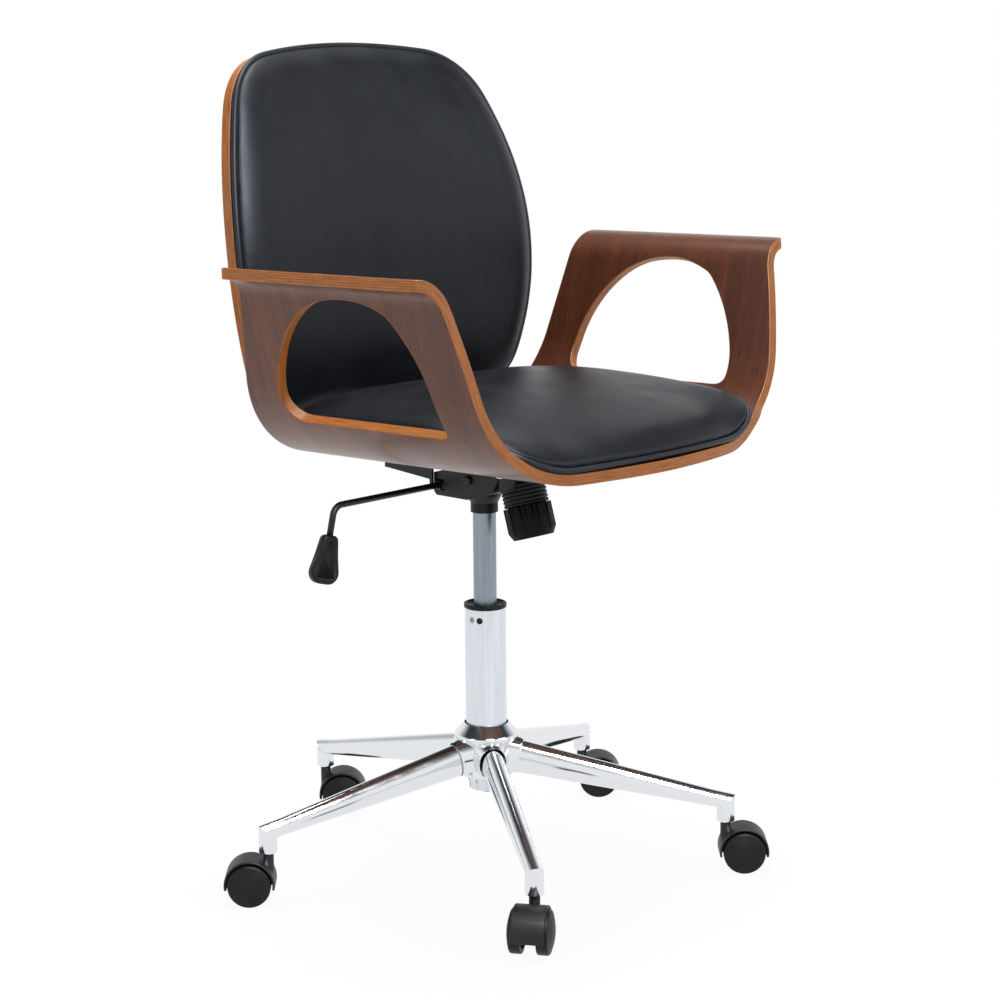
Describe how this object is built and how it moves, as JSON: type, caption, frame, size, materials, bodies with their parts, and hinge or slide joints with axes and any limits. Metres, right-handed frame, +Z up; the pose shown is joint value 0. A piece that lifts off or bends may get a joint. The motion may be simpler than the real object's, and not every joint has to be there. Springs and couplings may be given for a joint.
{
  "type": "swivel office chair",
  "caption": "Swivel office chair with a bent walnut plywood seat whose sides loop up into armrests, a padded back, gas height lift, tilt lever and a chromed star base on twin-wheel casters.",
  "frame": {"origin": "on the floor under the column's axis", "axes": "+Z up, the sitter faces -Y, the sitter's right hand is towards -X"},
  "size_m": [0.6562, 0.5995, 0.9915],
  "materials": {
    "chrome_plate": "polished chrome plate",
    "zinc_steel": "satin zinc grey",
    "black_steel": "semi-matt black powder coat",
    "bare_steel": "plain steel",
    "black_nylon": "moulded black nylon",
    "walnut_ply": "satin lacquered walnut veneer",
    "raw_board": "raw plywood",
    "black_leatherette": "fine-grained black leatherette"
  },
  "bodies": {
    "base": {"base_hub": "chrome_plate", "base_leg_1": "chrome_plate", "base_leg_2": "chrome_plate", "base_leg_3": "chrome_plate", "base_leg_4": "chrome_plate", "base_leg_5": "chrome_plate", "leg_sockets": "chrome_plate", "column_tube": "chrome_plate", "guide_bush": "black_nylon", "thrust_bearing": "bare_steel"},
    "swivel": {"piston_rod": "bare_steel", "rod_clip": "bare_steel"},
    "lift": {"gas_cylinder": "zinc_steel", "mechanism_housing": "black_steel", "taper_socket": "black_steel", "column_ring": "black_nylon", "pivot_pin": "black_steel", "spring_cup": "black_nylon", "tension_spring": "bare_steel", "tension_bolt": "bare_steel"},
    "seat": {"seat_plate": "black_steel", "seat_shell": "walnut_ply", "seat_board": "raw_board", "seat_pad": "black_leatherette", "pad_screws": "chrome_plate", "plate_bolts": "bare_steel", "back_shell": "walnut_ply", "back_pad": "black_leatherette", "back_straps": "black_steel", "strap_bolts": "chrome_plate"},
    "release_pin": {"release_pin": "bare_steel"},
    "lever_rocker": {"lever_rocker": "black_steel"},
    "lever": {"lever_rod": "black_steel", "lever_grip": "black_nylon"},
    "tension_knob": {"tension_knob": "black_nylon"},
    "caster_1": {"caster_1_hood": "black_nylon", "caster_1_stem": "bare_steel", "caster_1_axle": "bare_steel"},
    "caster_1_wheel_a": {"caster_1_wheel_a": "black_nylon"},
    "caster_1_wheel_b": {"caster_1_wheel_b": "black_nylon"},
    "caster_2": {"caster_2_hood": "black_nylon", "caster_2_stem": "bare_steel", "caster_2_axle": "bare_steel"},
    "caster_2_wheel_a": {"caster_2_wheel_a": "black_nylon"},
    "caster_2_wheel_b": {"caster_2_wheel_b": "black_nylon"},
    "caster_3": {"caster_3_hood": "black_nylon", "caster_3_stem": "bare_steel", "caster_3_axle": "bare_steel"},
    "caster_3_wheel_a": {"caster_3_wheel_a": "black_nylon"},
    "caster_3_wheel_b": {"caster_3_wheel_b": "black_nylon"},
    "caster_4": {"caster_4_hood": "black_nylon", "caster_4_stem": "bare_steel", "caster_4_axle": "bare_steel"},
    "caster_4_wheel_a": {"caster_4_wheel_a": "black_nylon"},
    "caster_4_wheel_b": {"caster_4_wheel_b": "black_nylon"},
    "caster_5": {"caster_5_hood": "black_nylon", "caster_5_stem": "bare_steel", "caster_5_axle": "bare_steel"},
    "caster_5_wheel_a": {"caster_5_wheel_a": "black_nylon"},
    "caster_5_wheel_b": {"caster_5_wheel_b": "black_nylon"}
  },
  "joints": [
    {"name": "seat_swivel", "type": "hinge", "parent": "base", "child": "swivel", "pos_m": [0, 0, 0.1065], "axis": [0, 0, 1], "continuous": true},
    {"name": "seat_height", "type": "slide", "parent": "swivel", "child": "lift", "axis": [0, 0, 1], "range_m": [-0.1, 0]},
    {"name": "seat_tilt", "type": "hinge", "parent": "lift", "child": "seat", "pos_m": [0, -0.029, 0.49], "axis": [-1, 0, 0], "range_deg": [0, 14], "stiffness_Nm_per_rad": 60, "springref_deg": -20.05},
    {"name": "lever_lift", "type": "hinge", "parent": "lift", "child": "lever_rocker", "pos_m": [-0.0505, 0.0226, 0.4775], "axis": [0, 1, 0], "range_deg": [0, 5], "stiffness_Nm_per_rad": 12, "springref_deg": -2.86},
    {"name": "lever_pull", "type": "slide", "parent": "lever_rocker", "child": "lever", "axis": [-1, 0, 0], "range_m": [0, 0.015]},
    {"name": "valve", "type": "slide", "parent": "lift", "child": "release_pin", "axis": [0, 0, -1], "range_m": [0, 0.0045]},
    {"name": "tension_turn", "type": "hinge", "parent": "lift", "child": "tension_knob", "pos_m": [0, -0.062, 0.4835], "axis": [0, -0.284, -0.9588], "range_deg": [-1080, 1080]},
    {"name": "caster_1_swivel", "type": "hinge", "parent": "base", "child": "caster_1", "pos_m": [0, 0.293, 0.0615], "axis": [0, 0, 1], "continuous": true},
    {"name": "caster_1_roll_a", "type": "hinge", "parent": "caster_1", "child": "caster_1_wheel_a", "pos_m": [0.01528, 0.27718, 0.0256], "axis": [0.7193, 0.6947, 0], "continuous": true},
    {"name": "caster_1_roll_b", "type": "hinge", "parent": "caster_1", "child": "caster_1_wheel_b", "pos_m": [0.01528, 0.27718, 0.0256], "axis": [0.7193, 0.6947, 0], "continuous": true},
    {"name": "caster_2_swivel", "type": "hinge", "parent": "base", "child": "caster_2", "pos_m": [-0.27866, 0.09054, 0.0615], "axis": [0, 0, 1], "continuous": true},
    {"name": "caster_2_roll_a", "type": "hinge", "parent": "caster_2", "child": "caster_2_wheel_a", "pos_m": [-0.29394, 0.10637, 0.0256], "axis": [-0.7193, -0.6947, 0], "continuous": true},
    {"name": "caster_2_roll_b", "type": "hinge", "parent": "caster_2", "child": "caster_2_wheel_b", "pos_m": [-0.29394, 0.10637, 0.0256], "axis": [-0.7193, -0.6947, 0], "continuous": true},
    {"name": "caster_3_swivel", "type": "hinge", "parent": "base", "child": "caster_3", "pos_m": [-0.17222, -0.23704, 0.0615], "axis": [0, 0, 1], "continuous": true},
    {"name": "caster_3_roll_a", "type": "hinge", "parent": "caster_3", "child": "caster_3_wheel_a", "pos_m": [-0.19088, -0.2487, 0.0256], "axis": [0.5299, -0.848, 0], "continuous": true},
    {"name": "caster_3_roll_b", "type": "hinge", "parent": "caster_3", "child": "caster_3_wheel_b", "pos_m": [-0.19088, -0.2487, 0.0256], "axis": [0.5299, -0.848, 0], "continuous": true},
    {"name": "caster_4_swivel", "type": "hinge", "parent": "base", "child": "caster_4", "pos_m": [0.17222, -0.23704, 0.0615], "axis": [0, 0, 1], "continuous": true},
    {"name": "caster_4_roll_a", "type": "hinge", "parent": "caster_4", "child": "caster_4_wheel_a", "pos_m": [0.18723, -0.25313, 0.0256], "axis": [0.7314, 0.682, 0], "continuous": true},
    {"name": "caster_4_roll_b", "type": "hinge", "parent": "caster_4", "child": "caster_4_wheel_b", "pos_m": [0.18723, -0.25313, 0.0256], "axis": [0.7314, 0.682, 0], "continuous": true},
    {"name": "caster_5_swivel", "type": "hinge", "parent": "base", "child": "caster_5", "pos_m": [0.27866, 0.09054, 0.0615], "axis": [0, 0, 1], "continuous": true},
    {"name": "caster_5_roll_a", "type": "hinge", "parent": "caster_5", "child": "caster_5_wheel_a", "pos_m": [0.29394, 0.07472, 0.0256], "axis": [0.7193, 0.6947, 0], "continuous": true},
    {"name": "caster_5_roll_b", "type": "hinge", "parent": "caster_5", "child": "caster_5_wheel_b", "pos_m": [0.29394, 0.07472, 0.0256], "axis": [0.7193, 0.6947, 0], "continuous": true}
  ],
  "couplings": [
    {"joint": "valve", "follows": "lever_lift", "m_per_rad": 0.0505}
  ]
}
